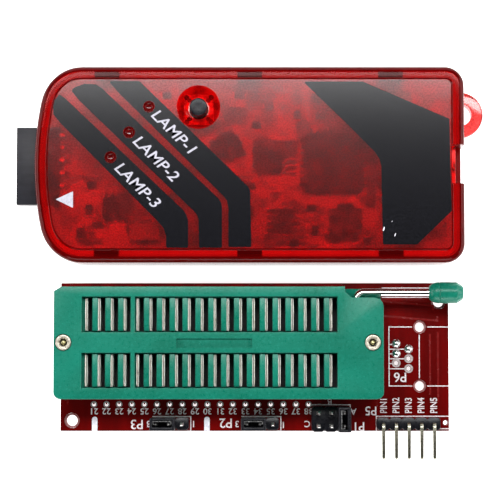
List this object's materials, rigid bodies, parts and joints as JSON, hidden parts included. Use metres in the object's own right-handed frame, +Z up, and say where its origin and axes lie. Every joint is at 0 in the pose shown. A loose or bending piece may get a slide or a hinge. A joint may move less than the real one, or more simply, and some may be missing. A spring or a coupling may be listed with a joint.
{
  "type": "usb microcontroller programmer",
  "caption": "Pocket USB chip programmer in a translucent red case, with button, status lamps and pin socket, beside its ZIF chip socket board with lever, jumpers and pin header.",
  "frame": {"origin": "centre of the flat underside of the programmer's case, which stands on the bench", "axes": "+Z up, out of the textured top face; +X along the length towards the USB socket, -X towards the programming header; the socket board lies on the -Y side"},
  "size_m": [0.0937, 0.078, 0.0149],
  "materials": {
    "clear_red_case": "translucent red, gloss rim with a fine textured top field",
    "red_board": null,
    "black_plastic": "satin moulded plastic",
    "tinned_metal": "bright tin plate",
    "contact_metal": "tin-plated spring bronze",
    "lever_steel": "drawn steel wire",
    "green_plastic": "satin glass-filled plastic",
    "pin_metal": "pale gold-plated brass",
    "led_lens": "milky clear epoxy",
    "chip_epoxy": "moulded epoxy",
    "ferrite": null,
    "capacitor_epoxy": "moulded epoxy"
  },
  "bodies": {
    "programmer": {"top_shell": "clear_red_case", "bottom_shell": "clear_red_case", "icsp_header": "black_plastic", "icsp_contact_1": "tinned_metal", "icsp_contact_2": "tinned_metal", "icsp_contact_3": "tinned_metal", "icsp_contact_4": "tinned_metal", "icsp_contact_5": "tinned_metal", "icsp_contact_6": "tinned_metal", "main_board": "red_board", "usb_shell": "tinned_metal", "usb_tongue": "black_plastic", "switch_body": "black_plastic", "switch_plate": "tinned_metal", "switch_dome": "tinned_metal", "led_1": "led_lens", "led_2": "led_lens", "led_3": "led_lens", "microcontroller": "chip_epoxy", "memory_chip": "chip_epoxy", "supervisor_chip": "chip_epoxy", "driver_chip": "chip_epoxy", "voltage_regulator": "chip_epoxy", "boost_inductor": "ferrite", "quartz_crystal": "tinned_metal", "tantalum_capacitor": "capacitor_epoxy"},
    "button": {"switch_plunger": "black_plastic"},
    "board": {"socket_board": "red_board", "zif_base": "green_plastic", "zif_cover": "green_plastic", "contact_row_rear": "contact_metal", "contact_row_front": "contact_metal", "zif_rivet_left": "tinned_metal", "zif_rivet_right": "tinned_metal", "j1_header": "black_plastic", "j2_header": "black_plastic", "j3_header": "black_plastic", "j5_header": "black_plastic", "j5_pin_1": "pin_metal", "j5_pin_2": "pin_metal", "j5_pin_3": "pin_metal", "j5_pin_4": "pin_metal", "j5_pin_5": "pin_metal"},
    "slider": {"zif_slider": "green_plastic"},
    "lever": {"zif_lever": "lever_steel", "zif_lever_knob": "green_plastic"},
    "jumper_1": {"jumper_cap_1": "black_plastic", "jumper_clip_1": "tinned_metal"},
    "jumper_2": {"jumper_cap_2": "black_plastic", "jumper_clip_2": "tinned_metal"},
    "jumper_3": {"jumper_cap_3": "black_plastic", "jumper_clip_3": "tinned_metal"}
  },
  "joints": [
    {"name": "button_press", "type": "slide", "parent": "programmer", "child": "button", "axis": [0, 0, -1], "range_m": [0, 0.0003], "stiffness_N_per_m": 500, "springref_m": -0.0002},
    {"name": "board_lift", "type": "slide", "parent": "programmer", "child": "board", "axis": [0, 0, 1], "range_m": [0, 0.03]},
    {"name": "lever_turn", "type": "hinge", "parent": "board", "child": "lever", "pos_m": [0.0213, -0.0353, 0.0093], "axis": [0, -1, 0], "range_deg": [0, 90]},
    {"name": "slider_shift", "type": "slide", "parent": "board", "child": "slider", "axis": [-1, 0, 0], "range_m": [0, 0.0009]},
    {"name": "jumper_1_pull", "type": "slide", "parent": "board", "child": "jumper_1", "axis": [0, 0, 1], "range_m": [0, 0.007]},
    {"name": "jumper_2_pull", "type": "slide", "parent": "board", "child": "jumper_2", "axis": [0, 0, 1], "range_m": [0, 0.007]},
    {"name": "jumper_3_pull", "type": "slide", "parent": "board", "child": "jumper_3", "axis": [0, 0, 1], "range_m": [0, 0.007]}
  ],
  "couplings": [
    {"joint": "lever_turn", "follows": "slider_shift", "rad_per_m": 1745.3}
  ]
}
